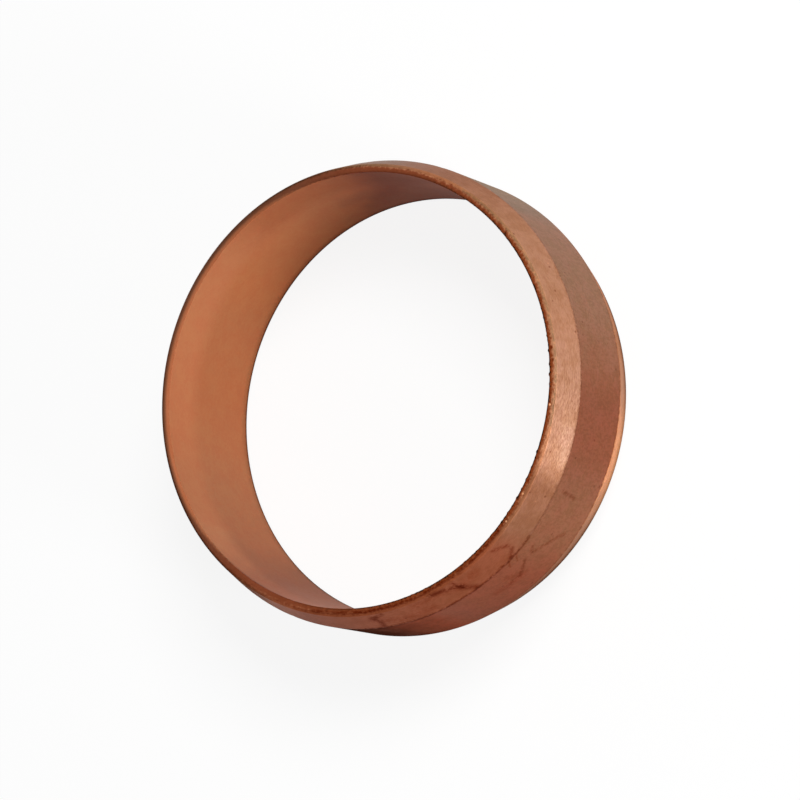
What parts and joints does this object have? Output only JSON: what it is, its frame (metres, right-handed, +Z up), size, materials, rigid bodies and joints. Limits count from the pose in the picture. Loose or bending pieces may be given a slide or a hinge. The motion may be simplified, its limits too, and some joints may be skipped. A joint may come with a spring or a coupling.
{
  "type": "compression olive",
  "caption": "Copper ring with a plain bore and a cylindrical land between two shallow cones, squeezed by a nut on to a tube to seal it in a compression fitting.",
  "frame": {"origin": "centre of the bore in the plane of the end that the ring stands on", "axes": "+Z up along the bore; the ring is round about Z, so X and Y are free"},
  "size_m": [0.024, 0.024, 0.0078],
  "materials": {
    "copper": "bare satin copper, lightly oxidised"
  },
  "bodies": {
    "root": {"olive": "copper"}
  },
  "joints": []
}
